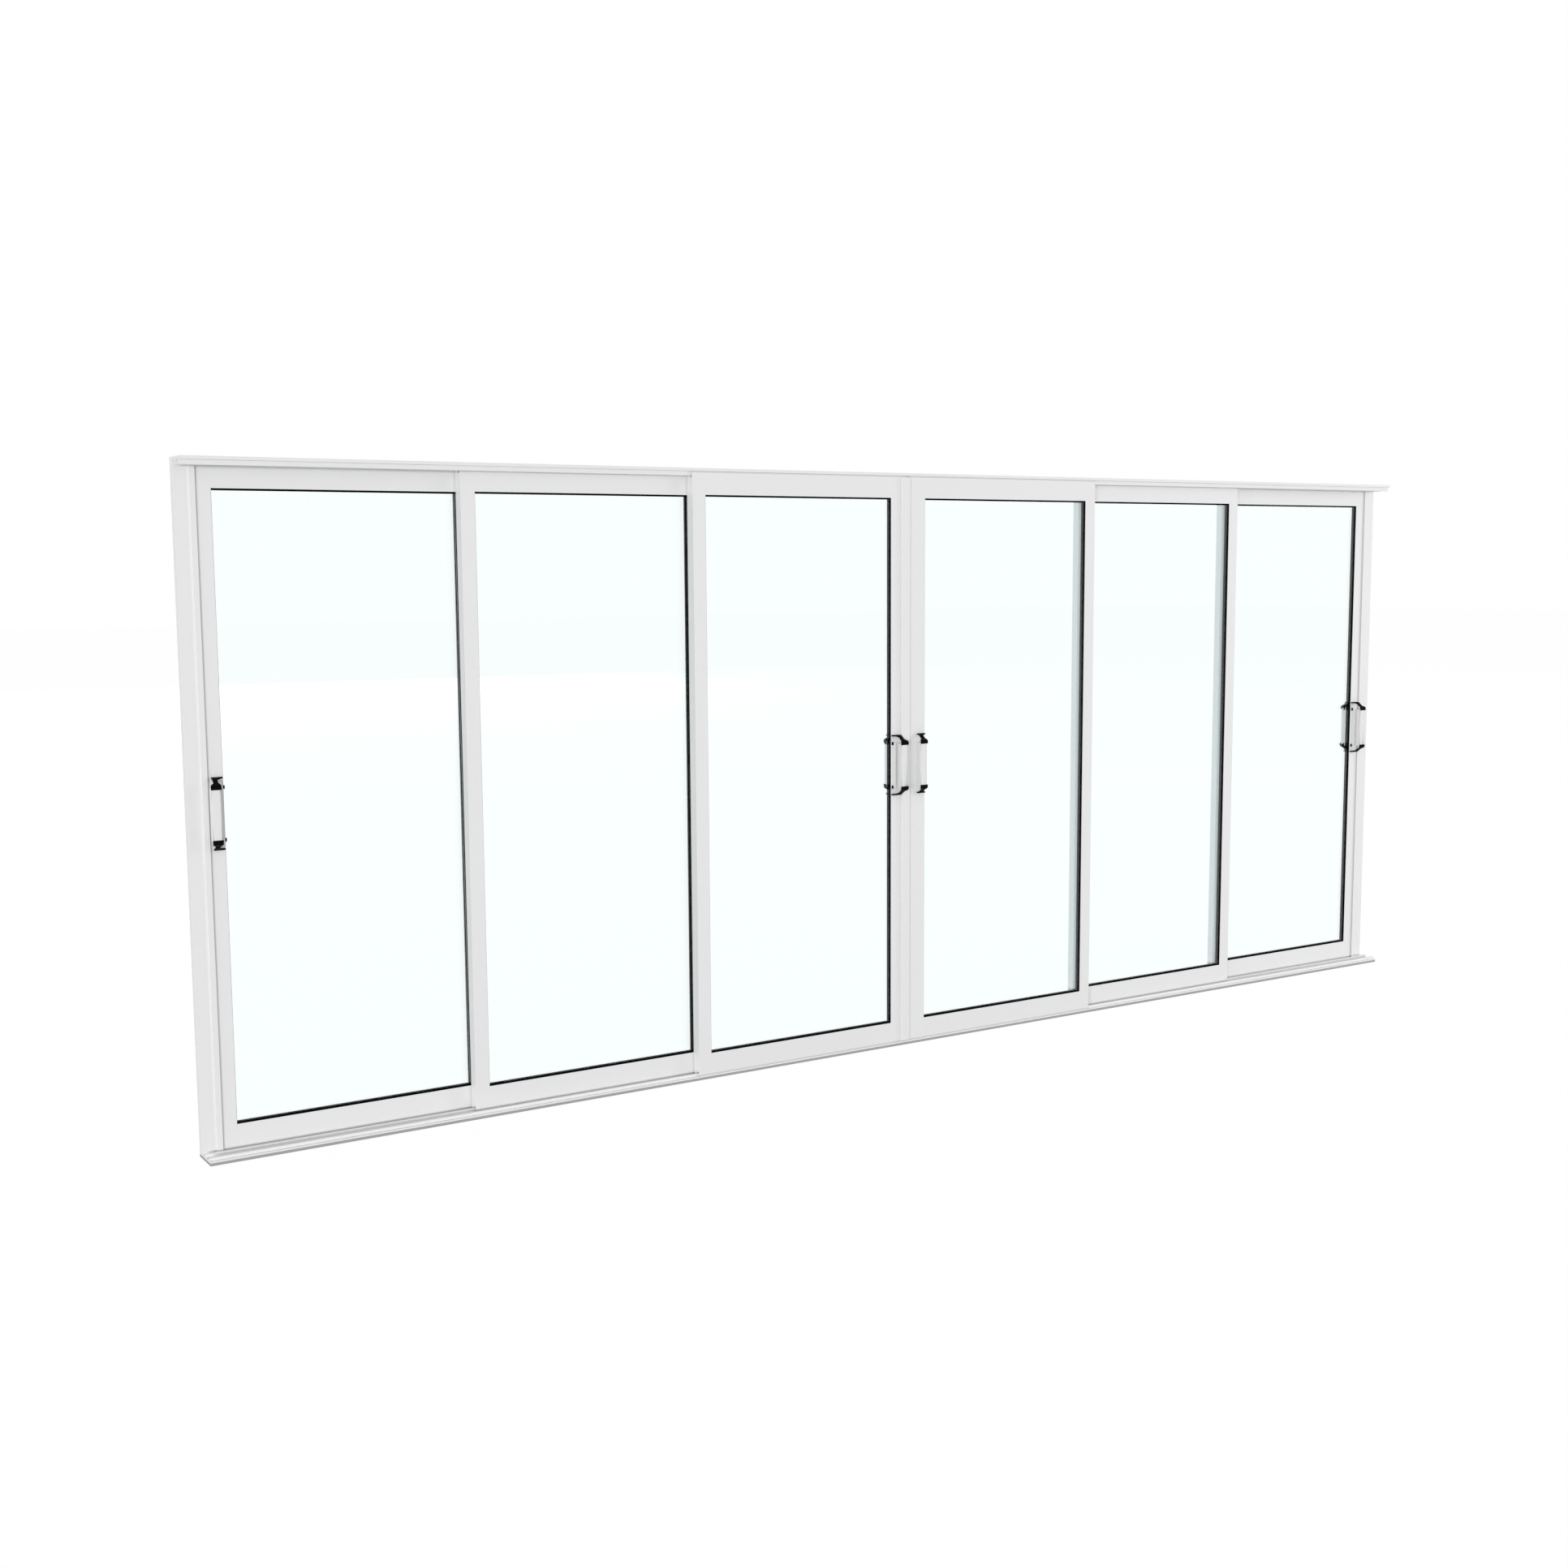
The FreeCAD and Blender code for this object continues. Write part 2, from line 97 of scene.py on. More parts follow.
def math_node(
    tree: bpy.types.NodeTree, operation: str, *inputs: bpy.types.NodeSocket | float
) -> bpy.types.NodeSocket:
    """Add a Math node whose inputs are links or plain numbers.

    Args:
        tree: node tree that gets the node.
        operation: what the node works out.
        *inputs: for each input in order, a socket to link from or a number.

    Returns:
        The node's output.
    """
    node = tree.nodes.new("ShaderNodeMath")
    node.operation = operation
    for place, given in zip(node.inputs, inputs):
        if isinstance(given, bpy.types.NodeSocket):
            tree.links.new(given, place)
        else:
            place.default_value = given
    return node.outputs[0]


def new_group(name: str, takes: dict[str, object], gives: dict[str, str]) -> bpy.types.NodeTree:
    """Start a shader node group with named sockets.

    Args:
        name: the group's name.
        takes: default value of each input; a float, or a tuple for a colour or vector.
        gives: socket type of each output.

    Returns:
        The group, with its input and output nodes in place.
    """
    tree = bpy.data.node_groups.new(name, "ShaderNodeTree")
    for label, value in takes.items():
        kind = "NodeSocketFloat"
        if isinstance(value, tuple):
            kind = "NodeSocketColor" if len(value) == 4 else "NodeSocketVector"
        socket = tree.interface.new_socket(name=label, in_out="INPUT", socket_type=kind)
        socket.default_value = value
    for label, kind in gives.items():
        tree.interface.new_socket(name=label, in_out="OUTPUT", socket_type=kind)
    tree.nodes.new("NodeGroupInput")
    tree.nodes.new("NodeGroupOutput")
    return tree


def surface_group() -> bpy.types.NodeTree:
    """Group that gives a coated or moulded surface its small variation.

    Two noises of very different size are mixed: a wide one shifts the colour and the
    roughness a little, and a fine one is the orange-peel or moulded grain in the height.
    A third noise breaks up the faint dust and painted shade, which are strongest low down.

    Returns:
        The group, with outputs Color, Roughness and Height.
    """
    tree = new_group(
        "coated_surface",
        {
            "Color": (0.8, 0.8, 0.8, 1.0),
            "Roughness": 0.4,
            "Mottle": 0.02,
            "Grain Size": 600.0,
            "Dust And Shade": 0.0,
        },
        {"Color": "NodeSocketColor", "Roughness": "NodeSocketFloat", "Height": "NodeSocketFloat"},
    )
    start, end = tree.nodes["Group Input"], tree.nodes["Group Output"]
    link = tree.links.new
    place = tree.nodes.new("ShaderNodeTexCoord")

    wide = add_node(tree, "ShaderNodeTexNoise", Scale=TONE_SCALE, Detail=3.0, Roughness=0.6)
    link(place.outputs["Object"], wide.inputs["Vector"])
    around = math_node(tree, "SUBTRACT", wide.outputs["Fac"], 0.5)
    swing = math_node(tree, "MULTIPLY_ADD", around, start.outputs["Mottle"], 1.0)
    toned = tree.nodes.new("ShaderNodeVectorMath")
    toned.operation = "SCALE"
    link(start.outputs["Color"], toned.inputs[0])
    link(swing, toned.inputs["Scale"])

    # faint dust and painted shade: darkest at the bottom, gone at its height, and broken up by a
    # noise
    axes = tree.nodes.new("ShaderNodeSeparateXYZ")
    link(place.outputs["Object"], axes.inputs[0])
    low = add_node(
        tree, "ShaderNodeMapRange", From_Min=0.0, From_Max=DUST_AND_SHADE_HEIGHT, To_Min=1.0, To_Max=0.0
    )
    link(axes.outputs["Z"], low.inputs["Value"])
    patch = add_node(tree, "ShaderNodeTexNoise", Scale=DUST_AND_SHADE_SCALE, Detail=4.0, Roughness=0.65)
    link(place.outputs["Object"], patch.inputs["Vector"])
    dust_and_shade_mask = math_node(tree, "MULTIPLY", low.outputs["Result"], patch.outputs["Fac"])
    dust_and_shade_amount = math_node(tree, "MULTIPLY", dust_and_shade_mask, start.outputs["Dust And Shade"])
    dust_and_shade_amount.node.use_clamp = True
    mixed = tree.nodes.new("ShaderNodeMix")
    mixed.data_type = "RGBA"
    mixed.inputs["B"].default_value = DUST_AND_SHADE_COLOUR
    link(dust_and_shade_amount, mixed.inputs["Factor"])
    link(toned.outputs[0], mixed.inputs["A"])
    link(mixed.outputs["Result"], end.inputs["Color"])

    rough = math_node(tree, "MULTIPLY_ADD", around, ROUGHNESS_SWING, start.outputs["Roughness"])
    link(rough, end.inputs["Roughness"])

    fine = add_node(tree, "ShaderNodeTexNoise", Detail=2.0, Roughness=0.5)
    link(place.outputs["Object"], fine.inputs["Vector"])
    link(start.outputs["Grain Size"], fine.inputs["Scale"])
    link(fine.outputs["Fac"], end.inputs["Height"])
    return tree


SURFACE = surface_group()


# Finishes


@dataclass(frozen=True)
class CoatedFinish:
    """Paint, plastic or rubber with a fine grain and a soft change of tone."""

    name: str
    colour: Colour
    roughness: float
    grain_size: float
    grain_depth: float
    mottle: float
    # faint dust and painted shade: how much darker the surface is made low down
    dust_and_shade: float = 0.0
    specular: float = 0.5

    def build(self) -> bpy.types.Material:
        """Make the material with the shared surface group feeding one shader.

        Returns:
            The material.
        """
        material = bpy.data.materials.new(self.name)
        material.use_nodes = True
        material.diffuse_color = (*self.colour, 1.0)
        tree = material.node_tree
        shader = tree.nodes["Principled BSDF"]
        shader.inputs["Specular IOR Level"].default_value = self.specular
        surface = tree.nodes.new("ShaderNodeGroup")
        surface.node_tree = SURFACE
        surface.inputs["Color"].default_value = (*self.colour, 1.0)
        surface.inputs["Roughness"].default_value = self.roughness
        surface.inputs["Mottle"].default_value = self.mottle
        surface.inputs["Grain Size"].default_value = self.grain_size
        surface.inputs["Dust And Shade"].default_value = self.dust_and_shade
        bump = add_node(
            tree, "ShaderNodeBump", Strength=GRAIN_STRENGTH, Distance=self.grain_depth
        )
        tree.links.new(surface.outputs["Color"], shader.inputs["Base Color"])
        tree.links.new(surface.outputs["Roughness"], shader.inputs["Roughness"])
        tree.links.new(surface.outputs["Height"], bump.inputs["Height"])
        tree.links.new(bump.outputs["Normal"], shader.inputs["Normal"])
        return material


@dataclass(frozen=True)
class GlassFinish:
    """Clear float glass with a faint cool tint that lets lamps through."""

    name: str
    tint: Colour
    ior: float
    roughness: float
    specular: float

    def build(self) -> bpy.types.Material:
        """Make the material: glass, but clear to shadow and diffuse rays, so that light gets in.

        Returns:
            The material.
        """
        material = bpy.data.materials.new(self.name)
        material.use_nodes = True
        material.diffuse_color = (*self.tint, 0.3)
        tree = material.node_tree
        shader = tree.nodes["Principled BSDF"]
        shader.inputs["Base Color"].default_value = (*self.tint, 1.0)
        shader.inputs["Roughness"].default_value = self.roughness
        shader.inputs["IOR"].default_value = self.ior
        shader.inputs["Specular IOR Level"].default_value = self.specular
        shader.inputs["Transmission Weight"].default_value = 1.0
        clear = tree.nodes.new("ShaderNodeBsdfTransparent")
        clear.inputs["Color"].default_value = (*self.tint, 1.0)
        path = tree.nodes.new("ShaderNodeLightPath").outputs
        falling = math_node(tree, "MAXIMUM", path["Is Shadow Ray"], path["Is Diffuse Ray"])
        mix = tree.nodes.new("ShaderNodeMixShader")
        link = tree.links.new
        link(falling, mix.inputs[0])
        link(shader.outputs[0], mix.inputs[1])
        link(clear.outputs[0], mix.inputs[2])
        link(mix.outputs[0], tree.nodes["Material Output"].inputs["Surface"])
        return material


class Finishes:
    """Every finish of the door, each built once."""

    def __init__(self) -> None:
        """Build the finishes."""
        # The dust amounts below also paint shade low down on the frame, the sill and the seal strip.
        self.powder_white = CoatedFinish(
            "powder_coat_white", (0.86, 0.86, 0.86), roughness=0.38,
            grain_size=900.0, grain_depth=0.00012, mottle=0.02, dust_and_shade=0.05,
        ).build()
        # The sill's coat is a lighter copy of the frame's powder coat: painted light that brightens
        # the shaded sill.
        self.sill_painted_light_white = CoatedFinish(
            "powder_coat_sill_painted_light", (0.91, 0.91, 0.91), roughness=0.42,
            grain_size=900.0, grain_depth=0.00012, mottle=0.02, dust_and_shade=0.03,
        ).build()
        self.grip_white = CoatedFinish(
            "grip_enamel_white", (0.84, 0.84, 0.84), roughness=0.30,
            grain_size=1400.0, grain_depth=0.00006, mottle=0.015,
        ).build()
        self.gasket_black = CoatedFinish(
            "glazing_rubber_black", (0.004, 0.0045, 0.005), roughness=0.65,
            grain_size=1800.0, grain_depth=0.0001, mottle=0.2, specular=0.0,
        ).build()
        self.bracket_black = CoatedFinish(
            "moulded_bracket_black", (0.003, 0.003, 0.003), roughness=0.45,
            grain_size=1500.0, grain_depth=0.00008, mottle=0.2, specular=0.03,
        ).build()
        self.roller_grey = CoatedFinish(
            "roller_nylon_grey", (0.33, 0.34, 0.35), roughness=0.5,
            grain_size=1200.0, grain_depth=0.0001, mottle=0.06,
        ).build()
        self.spacer_dark = CoatedFinish(
            "warm_edge_spacer", (0.003, 0.0035, 0.004), roughness=0.6,
            grain_size=2200.0, grain_depth=0.0001, mottle=0.1, specular=0.0,
        ).build()
        self.seal_grey = CoatedFinish(
            "bedding_seal_grey", (0.40, 0.40, 0.405), roughness=0.7,
            grain_size=700.0, grain_depth=0.0002, mottle=0.05, dust_and_shade=0.1, specular=0.3,
        ).build()
        self.pile_pale = CoatedFinish(
            "brush_pile_pale", (0.74, 0.74, 0.74), roughness=0.85,
            grain_size=2600.0, grain_depth=0.0006, mottle=0.08, specular=0.1,
        ).build()
        self.glass = GlassFinish(
            "float_glass_clear", (0.975, 0.998, 1.0), ior=1.45, roughness=0.0, specular=0.08
        ).build()


# Helpers for meshes


def mesh_object(name: str, points: np.ndarray, faces: np.ndarray) -> bpy.types.Object:
    """Put arrays of points and quads into a new object at the origin.

    Args:
        name: the object's name.
        points: (n, 3) array in metres.
        faces: (m, 4) array of point numbers.

    Returns:
        The linked object.
    """
    mesh = bpy.data.meshes.new(name)
    mesh.from_pydata(points.tolist(), [], faces.tolist())
    mesh.validate()
    mesh.update()
    thing = bpy.data.objects.new(name, mesh)
    bpy.context.scene.collection.objects.link(thing)
    return thing


def grid_faces(rows: int, columns: int, wrap_rows: bool, wrap_columns: bool) -> np.ndarray:
    """Quads between neighbouring points of a grid numbered row by row.

    Point (r, c) has the number r times the columns plus c, and a quad joins it to its
    neighbours at c + 1, at both plus 1, and at r + 1.

    Args:
        rows: number of rows of points.
        columns: number of points in a row.
        wrap_rows: whether the last row joins the first.
        wrap_columns: whether the last column joins the first.

    Returns:
        (m, 4) array of point numbers.
    """
    r = np.arange(rows if wrap_rows else rows - 1)[:, None]
    c = np.arange(columns if wrap_columns else columns - 1)[None, :]
    r_next, c_next = (r + 1) % rows, (c + 1) % columns
    corners = [r * columns + c, r * columns + c_next, r_next * columns + c_next, r_next * columns + c]
    shape = np.broadcast_shapes(r.shape, c.shape)
    return np.stack([np.broadcast_to(corner, shape) for corner in corners], -1).reshape(-1, 4)


def frame_sweep(
    low: np.ndarray, high: np.ndarray, profile: np.ndarray, side_share: float = 1.0
) -> np.ndarray:
    """Carry a profile round a rectangle in the XZ plane, mitred at its corners.

    A profile point (a, y) lies a inside the rectangle and at depth y, so its four
    corner points are the rectangle's corners moved in by a along Z, and by the side
    share of a along X.

    Args:
        low: lowest x and z of the rectangle.
        high: highest x and z of the rectangle.
        profile: (k, 2) array of (inset, depth).
        side_share: width of the upright runs as a share of the level ones.

    Returns:
        (4 k, 3) array, one row of k points at each corner.
    """
    sign = np.array([[1, 1], [-1, 1], [-1, -1], [1, -1]], float)
    corner = np.where(sign > 0, low, high)
    inset = profile[None, :, :1] * np.array([side_share, 1.0])
    flat = corner[:, None, :] + sign[:, None, :] * inset
    depth = np.broadcast_to(profile[None, :, 1:], (4, len(profile), 1))
    return np.concatenate([flat[..., :1], depth, flat[..., 1:]], -1).reshape(-1, 3)


def straight_strip(
    outline: np.ndarray, axis: int, low: float, high: float
) -> tuple[np.ndarray, np.ndarray]:
    """Carry a four-cornered outline straight along one axis.

    Args:
        outline: (4, 2) array of corners in the two other axes, in their usual order.
        axis: number of the axis that the strip runs along.
        low: where the strip starts.
        high: where the strip ends.

    Returns:
        Points and faces of the strip, closed at both ends.
    """
    points = np.concatenate([np.insert(outline, axis, at, axis=1) for at in (low, high)])
    caps = np.array([[0, 1, 2, 3], [4, 5, 6, 7]])
    return points, np.concatenate([grid_faces(2, 4, False, True), caps])


def tapered(root: float, tip: float, near: float, far: float, share: float) -> np.ndarray:
    """Outline of a brush pile that narrows from its root to its tip.

    Args:
        root: where the pile is bedded, along the outline's second axis.
        tip: where it ends.
        near: its lower side, along the outline's first axis.
        far: its upper side.
        share: width at the tip as a share of the width at the root.

    Returns:
        (4, 2) array of corners.
    """
    taper = (far - near) * (1.0 - share) / 2
    return np.array([[near, root], [far, root], [far - taper, tip], [near + taper, tip]])


def face_outwards(thing: bpy.types.Object) -> None:
    """Recalculate normals of a closed mesh and shade it smooth between sharp edges.

    Args:
        thing: object whose mesh is mended.
    """
    shell = bmesh.new()
    shell.from_mesh(thing.data)
    bmesh.ops.remove_doubles(shell, verts=shell.verts, dist=MERGE_DISTANCE)
    bmesh.ops.recalc_face_normals(shell, faces=shell.faces)
    shell.to_mesh(thing.data)
    shell.free()
    thing.data.shade_smooth()
    thing.data.set_sharp_from_angle(angle=math.radians(SMOOTH_DEGREES))


def join_arrays(parts: list[tuple[np.ndarray, np.ndarray]]) -> tuple[np.ndarray, np.ndarray]:
    """Stack several meshes into one, with the point numbers of each shifted past the last.

    Args:
        parts: the (points, faces) pair of each mesh.

    Returns:
        One (points, faces) pair.
    """
    counts = np.cumsum([0] + [len(points) for points, _ in parts[:-1]])
    points = np.concatenate([points for points, _ in parts])
    faces = np.concatenate([faces + shift for (_, faces), shift in zip(parts, counts)])
    return points, faces


def dress(thing: bpy.types.Object, material: bpy.types.Material) -> None:
    """Give every slot of an object one material.

    Args:
        thing: object that is dressed.
        material: its finish.
    """
    if not thing.data.materials:
        thing.data.materials.append(material)
    for place in thing.material_slots:
        place.material = material


def smooth_stand_in(node: str, body: str, material: bpy.types.Material) -> bpy.types.Object:
    """Copy a curved solid, merge its loose triangles and shade it smooth.

    Args:
        node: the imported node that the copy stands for.
        body: the moving body that it rides on.
        material: its finish.

    Returns:
        The copy.
    """
    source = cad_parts[node]
    copy = bpy.data.objects.new(node + "_smooth", source.data.copy())
    bpy.context.scene.collection.objects.link(copy)
    face_outwards(copy)
    copy.data.materials.clear()
    dress(copy, material)
    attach(copy, body)
    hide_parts(node)
    return copy


# Sub-assemblies of the door


@dataclass
class OuterFrame:
    """Head, sill and jambs of the fixed frame, and the seal strip that it stands on."""

    finishes: Finishes
    members: tuple[str, ...] = ("head", "left_jamb", "right_jamb")

    def build(self) -> None:
        """Powder coat the four members and finish the seal strip under the sill."""
        # the sill gets the lighter copy of the coat, which is painted light
        dress(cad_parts["sill"], self.finishes.sill_painted_light_white)
        for member in self.members:
            dress(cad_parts[member], self.finishes.powder_white)
            log.info("dressed %s", member)
        dress(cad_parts["sill_seal"], self.finishes.seal_grey)


@dataclass
class GlazedLeaf:
    """One sliding leaf: sash, double-glazed unit, rubber lips, brush seals and rollers."""

    name: str
    finishes: Finishes
    pane: float = 0.004
    arris: float = 0.0006
    edge_play: float = 0.0003
    spacer_face: float = 0.0035
    spacer_inset: float = 0.0006
    spacer_past: float = 0.00005
    hollow_depth: float = 0.0006
    hollow_start: float = 0.15
    hollow_share: float = 0.7
    hollow_points: int = 9
    lip_width: float = 0.003
    lip_height: float = 0.0042
    lip_inset: float = 0.0002
    lip_lift: float = 0.0001
    lip_points: int = 7
    side_share: float = 0.16
    channel_wall: float = 0.005
    pile_inset: float = 0.0004
    pile_play: float = 0.0006
    pile_share: float = 0.75
    low: np.ndarray = field(init=False)
    high: np.ndarray = field(init=False)

    def build(self) -> None:
        """Build and dress every piece of the leaf."""
        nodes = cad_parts
        for part in ("stiles", "rails"):
            dress(nodes[f"{self.name}_{part}"], self.finishes.powder_white)
        dress(nodes[f"{self.name}_gasket"], self.finishes.gasket_black)
        smooth_stand_in(
            f"{self.name}_rollers", self.name, self.finishes.roller_grey
        )
        self.low, self.high = (np.array(corner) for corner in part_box(f"{self.name}_glass"))
        self.panes()
        self.spacer()
        self.lips()
        self.brushes()
        log.info("built %s", self.name)

    def edge(self, inset: float) -> tuple[np.ndarray, np.ndarray]:
        """Lowest and highest (x, z) of the glass opening, moved in by an inset."""
        return self.low[[0, 2]] + inset, self.high[[0, 2]] - inset

    def panes(self) -> None:
        """Two panes with ground arrises.

        Each pane is a profile carried round the unit's rectangle: from the middle of one
        face out to the arris, across the edge and back along the other face. The two
        face ends are closed by a quad each.
        """
        low, high = self.edge(self.edge_play)
        parts = []
        for near, far in (
            (self.low[1], self.low[1] + self.pane),
            (self.high[1] - self.pane, self.high[1]),
        ):
            a = self.arris
            profile = np.array([[a, near], [0.0, near + a], [0.0, far - a], [a, far]])
            points = frame_sweep(low, high, profile)
            faces = grid_faces(4, 4, True, False)
            caps = np.array([[0, 4, 8, 12], [3, 7, 11, 15]])
            parts.append((points, np.concatenate([faces, caps])))
        unit = mesh_object(f"{self.name}_glazed_unit", *join_arrays(parts))
        face_outwards(unit)
        unit.data.shade_flat()
        dress(unit, self.finishes.glass)
        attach(unit, self.name)
        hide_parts(f"{self.name}_glass")

    def spacer(self) -> None:
        """Warm-edge bar round the unit: a closed profile carried round its rectangle.

        The face towards the glass is hollowed by a half wave: at a turn t from 0 to pi,
        it lies the hollow's depth times sin(t) behind the bar's face.
        """
        near, far = self.low[1] - self.spacer_past, self.high[1] + self.spacer_past
        depth, face = far - near, self.spacer_face
        turn = np.linspace(0.0, math.pi, self.hollow_points)
        hollow = np.stack([
            face - self.hollow_depth * np.sin(turn),
            near + depth * (self.hollow_start + self.hollow_share * turn / math.pi),
        ], 1)
        profile = np.concatenate([
            [[self.spacer_inset, far], [self.spacer_inset, near], [face, near]],
            hollow,
            [[face, far]],
        ])
        low, high = self.edge(0.0)
        points = frame_sweep(low, high, profile, self.side_share)
        bar = mesh_object(f"{self.name}_spacer", points, grid_faces(4, len(profile), True, True))
        face_outwards(bar)
        dress(bar, self.finishes.spacer_dark)
        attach(bar, self.name)

    def lips(self) -> None:
        """Rubber lips on both faces of the unit: a quarter-round bead carried round it.

        At a turn t from 0 to a right angle, the bead lies its width times sin(t) inside
        the rectangle and its height times cos(t) out from the glass.
        """
        parts = []
        for face in Face:
            side = self.low[1] if face is Face.FRONT else self.high[1]
            turn = np.linspace(0.0, math.pi / 2, self.lip_points)
            bead = np.stack([
                self.lip_inset + self.lip_width * np.sin(turn),
                side + face.value * (self.lip_lift + self.lip_height * np.cos(turn)),
            ], 1)
            foot = np.array([[self.lip_inset, side + face.value * self.lip_lift]])
            profile = np.concatenate([foot, bead])
            low, high = self.edge(0.0)
            points = frame_sweep(low, high, profile, self.side_share)
            parts.append((points, grid_faces(4, len(profile), True, True)))
        lips = mesh_object(f"{self.name}_glass_lips", *join_arrays(parts))
        face_outwards(lips)
        dress(lips, self.finishes.gasket_black)
        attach(lips, self.name)

    def brushes(self) -> None:
        """Brush piles along both edges of the running channels, above and below the leaf.

        Each is a straight strip that narrows from the rail to the head or the sill.
        """
        rails_low, rails_high = (np.array(corner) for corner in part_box(f"{self.name}_rails"))
        ends_low, ends_high = (np.array(corner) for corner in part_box(f"{self.name}_stiles"))
        jamb_low, jamb_high = (np.array(corner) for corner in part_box("left_jamb"))
        near_sides = (
            rails_low[1] + self.pile_inset,
            rails_high[1] - self.channel_wall + self.pile_inset,
        )
        parts = []
        for root, tip in (
            (rails_low[2], jamb_low[2] + self.pile_play),
            (rails_high[2], jamb_high[2] - self.pile_play),
        ):
            for near in near_sides:
                far = near + self.channel_wall - 2 * self.pile_inset
                outline = tapered(root, tip, near, far, self.pile_share)
                parts.append(straight_strip(outline, 0, ends_low[0], ends_high[0]))
        piles = mesh_object(f"{self.name}_brush_seals", *join_arrays(parts))
        face_outwards(piles)
        dress(piles, self.finishes.pile_pale)
        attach(piles, self.name)


@dataclass
class PullHandles:
    """The front and rear pulls of one leaf."""

    name: str
    finishes: Finishes

    def build(self) -> None:
        """Enamel the bars and mould the brackets."""
        smooth_stand_in(
            f"{self.name}_pull_bars", self.name, self.finishes.grip_white
        )
        smooth_stand_in(
            f"{self.name}_pull_brackets", self.name, self.finishes.bracket_black
        )
        log.info("built pulls of %s", self.name)


@dataclass
class CoverStrip:
    """The strip on leaf 4 that laps over leaf 3, with the brush pile behind its free edge."""

    finishes: Finishes
    strip_thick: float = 0.008
    pile_wide: float = 0.006
    edge_inset: float = 0.0008
    tip_play: float = 0.0005
    tip_share: float = 0.7

    def build(self) -> None:
        """Powder coat the strip and bed the pile behind its edge."""
        dress(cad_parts["leaf_4_cover_strip"], self.finishes.powder_white)
        low, high = (np.array(corner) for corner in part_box("leaf_4_cover_strip"))
        leaf, _ = (np.array(corner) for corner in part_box("leaf_3_stiles"))
        near = low[0] + self.edge_inset
        root, tip = low[1] + self.strip_thick, leaf[1] - self.tip_play
        outline = tapered(root, tip, near, near + self.pile_wide, self.tip_share)
        pile = mesh_object("leaf_4_cover_pile", *straight_strip(outline, 2, low[2], high[2]))
        face_outwards(pile)
        dress(pile, self.finishes.pile_pale)
        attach(pile, "leaf_4")
        log.info("dressed cover strip")


# Stage, lamps and camera


@dataclass(frozen=True)
class SoftBox:
    """Broad lamp that lights the door but isn't seen itself, in the glass either."""

    name: str
    spot: Colour
    power: float
    wide: float
    tall: float

    def build(self, target: Vector) -> None:
        """Hang the lamp and turn it to a target.

        Args:
            target: point that the lamp faces.
        """
        data = bpy.data.lights.new(self.name, "AREA")
        data.shape = "RECTANGLE"
        data.size = self.wide
        data.size_y = self.tall
        data.energy = self.power
        lamp = bpy.data.objects.new(self.name, data)
        lamp.location = self.spot
        aim = target - lamp.location
        lamp.rotation_euler = aim.to_track_quat("-Z", "Y").to_euler()
        lamp.visible_camera = False
        lamp.visible_glossy = False
        lamp.visible_transmission = False
        bpy.context.scene.collection.objects.link(lamp)


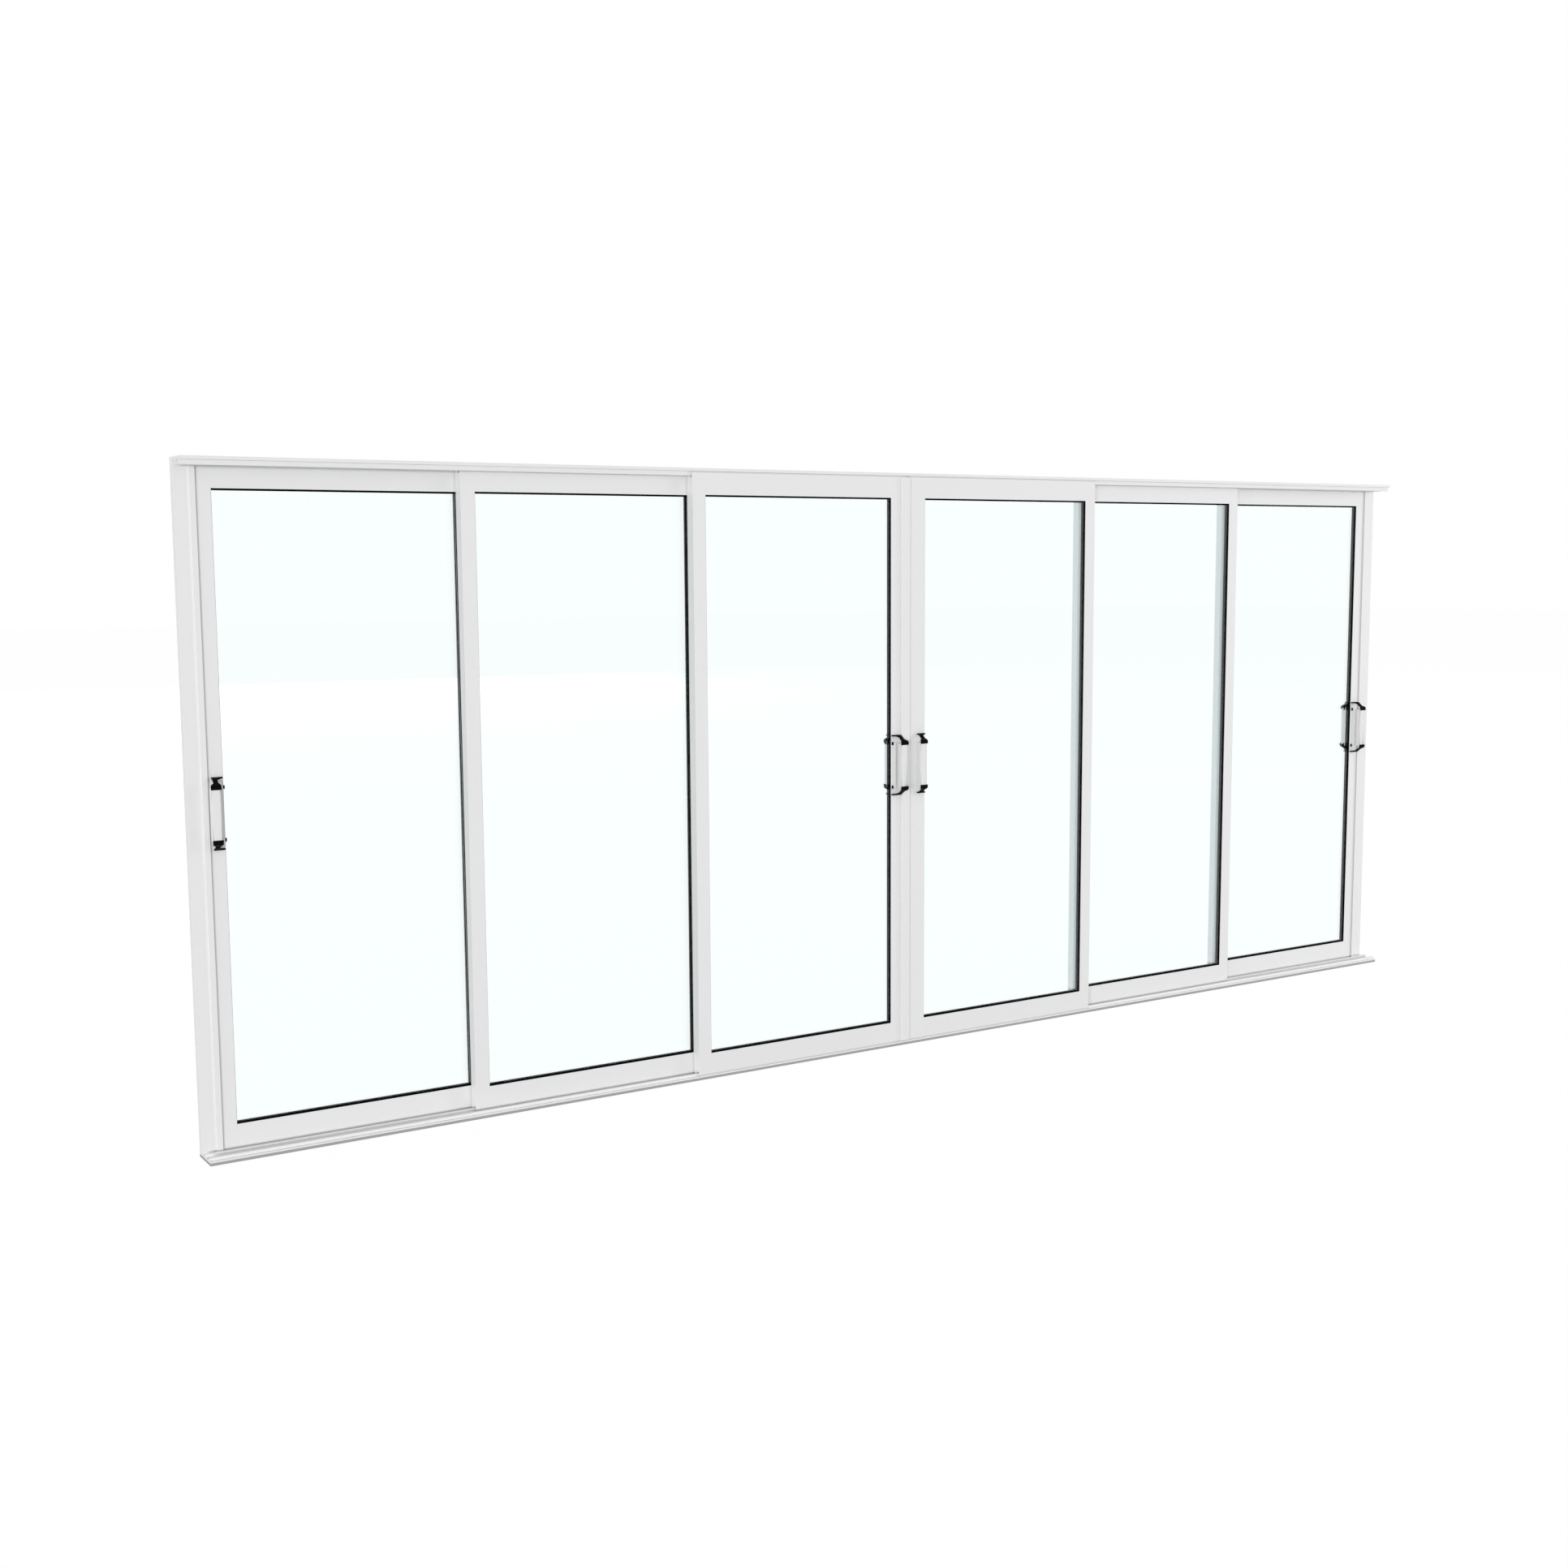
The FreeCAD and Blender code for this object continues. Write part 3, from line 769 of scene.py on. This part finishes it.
@dataclass
class Studio:
    """Pale floor, white surroundings, soft lamps and the camera."""

    floor_half: float = 60.0
    floor_drop: float = 0.0006
    floor_colour: Colour = (0.62, 0.62, 0.62)
    floor_glow: float = 1.086
    floor_shadow: float = 0.12
    sky_fill: float = 0.47
    lamp_target: Vector = field(default_factory=lambda: Vector((0.0, 0.0, 1.2)))
    boxes: tuple[SoftBox, ...] = (
        SoftBox("key_front", (-40.1, -44.6, 3.0), 18300.0, 26.0, 6.0),
        SoftBox("fill_right", (10.0, -7.0, 3.6), 275.0, 6.0, 4.0),
        SoftBox("fill_left", (-18.0, -4.0, 2.5), 140.0, 8.0, 5.0),
        SoftBox("fill_rear", (4.0, 26.0, 5.0), 3100.0, 14.0, 9.0),
    )
    lens: float = 42.914
    sensor: float = 36.0
    far_clip: float = 500.0
    eye: Vector = field(default_factory=lambda: Vector((-4.68814, -6.4668, 2.0771)))
    yaw: float = 32.40734661
    pitch: float = -6.76391166
    roll: float = -0.35411576

    def build(self) -> None:
        """Set the view transform and build the stage."""
        bpy.context.scene.view_settings.view_transform = "Standard"
        self.surroundings()
        self.floor()
        for box in self.boxes:
            box.build(self.lamp_target)
        self.camera()
        log.info("built the studio")

    @staticmethod
    def seen_directly(tree: bpy.types.NodeTree) -> bpy.types.NodeSocket:
        """Tell rays that look at a surface from the light that falls on the door.

        Args:
            tree: node tree that gets the nodes.

        Returns:
            Socket that is 1 for camera, glossy and transmission rays and 0 for others.
        """
        path = tree.nodes.new("ShaderNodeLightPath").outputs
        looked = math_node(tree, "MAXIMUM", path["Is Camera Ray"], path["Is Glossy Ray"])
        return math_node(tree, "MAXIMUM", looked, path["Is Transmission Ray"])

    def surroundings(self) -> None:
        """World that is white to look at and a softer grey as light."""
        world = bpy.data.worlds.new("studio_white")
        world.use_nodes = True
        bpy.context.scene.world = world
        tree = world.node_tree
        light = tree.nodes["Background"]
        light.inputs["Color"].default_value = WHITE
        light.inputs["Strength"].default_value = self.sky_fill
        seen = add_node(tree, "ShaderNodeBackground", Color=WHITE, Strength=1.0)
        mix = tree.nodes.new("ShaderNodeMixShader")
        tree.links.new(self.seen_directly(tree), mix.inputs[0])
        tree.links.new(light.outputs[0], mix.inputs[1])
        tree.links.new(seen.outputs[0], mix.inputs[2])
        tree.links.new(mix.outputs[0], tree.nodes["World Output"].inputs["Surface"])

    def floor(self) -> None:
        """Pale floor that looks white but keeps the door's soft shadow."""
        h, z = self.floor_half, -self.floor_drop
        corners = np.array([[-h, -h, z], [h, -h, z], [h, h, z], [-h, h, z]])
        ground = mesh_object("studio_floor", corners, np.array([[0, 1, 2, 3]]))
        material = bpy.data.materials.new("studio_floor_pale")
        material.use_nodes = True
        tree = material.node_tree
        base = tree.nodes["Principled BSDF"]
        base.inputs["Base Color"].default_value = (*self.floor_colour, 1.0)
        base.inputs["Roughness"].default_value = 0.9
        base.inputs["Specular IOR Level"].default_value = 0.0
        glow = add_node(tree, "ShaderNodeEmission", Strength=self.floor_glow)
        share = math_node(tree, "MULTIPLY", self.seen_directly(tree), 1.0 - self.floor_shadow)
        mix = tree.nodes.new("ShaderNodeMixShader")
        tree.links.new(share, mix.inputs[0])
        tree.links.new(base.outputs[0], mix.inputs[1])
        tree.links.new(glow.outputs[0], mix.inputs[2])
        tree.links.new(mix.outputs[0], tree.nodes["Material Output"].inputs["Surface"])
        dress(ground, material)

    def camera(self) -> None:
        """Camera at the photograph's viewing angle.

        The view axis comes from yaw and pitch, and the right and up axes are turned
        about it by the roll.
        """
        yaw, pitch, roll = (math.radians(a) for a in (self.yaw, self.pitch, self.roll))
        ahead = Vector((
            math.sin(yaw) * math.cos(pitch), math.cos(yaw) * math.cos(pitch), math.sin(pitch)
        ))
        level = Vector((math.cos(yaw), -math.sin(yaw), 0.0))
        upward = level.cross(ahead)
        right = math.cos(roll) * level + math.sin(roll) * upward
        up = math.cos(roll) * upward - math.sin(roll) * level
        data = bpy.data.cameras.new("camera")
        data.lens = self.lens
        data.sensor_width = self.sensor
        data.sensor_fit = "HORIZONTAL"
        data.clip_end = self.far_clip
        eye = bpy.data.objects.new("camera", data)
        basis = Matrix((right, up, -ahead)).transposed()
        eye.matrix_world = Matrix.Translation(self.eye) @ basis.to_4x4()
        bpy.context.scene.collection.objects.link(eye)
        bpy.context.scene.camera = eye


def main() -> None:
    """Build every sub-assembly in order."""
    finishes = Finishes()
    OuterFrame(finishes).build()
    for leaf in LEAVES:
        GlazedLeaf(leaf, finishes).build()
    for leaf in PULL_LEAVES:
        PullHandles(leaf, finishes).build()
    CoverStrip(finishes).build()
    Studio().build()


if __name__ == "__main__":
    logging.basicConfig(level=logging.INFO)
    main()
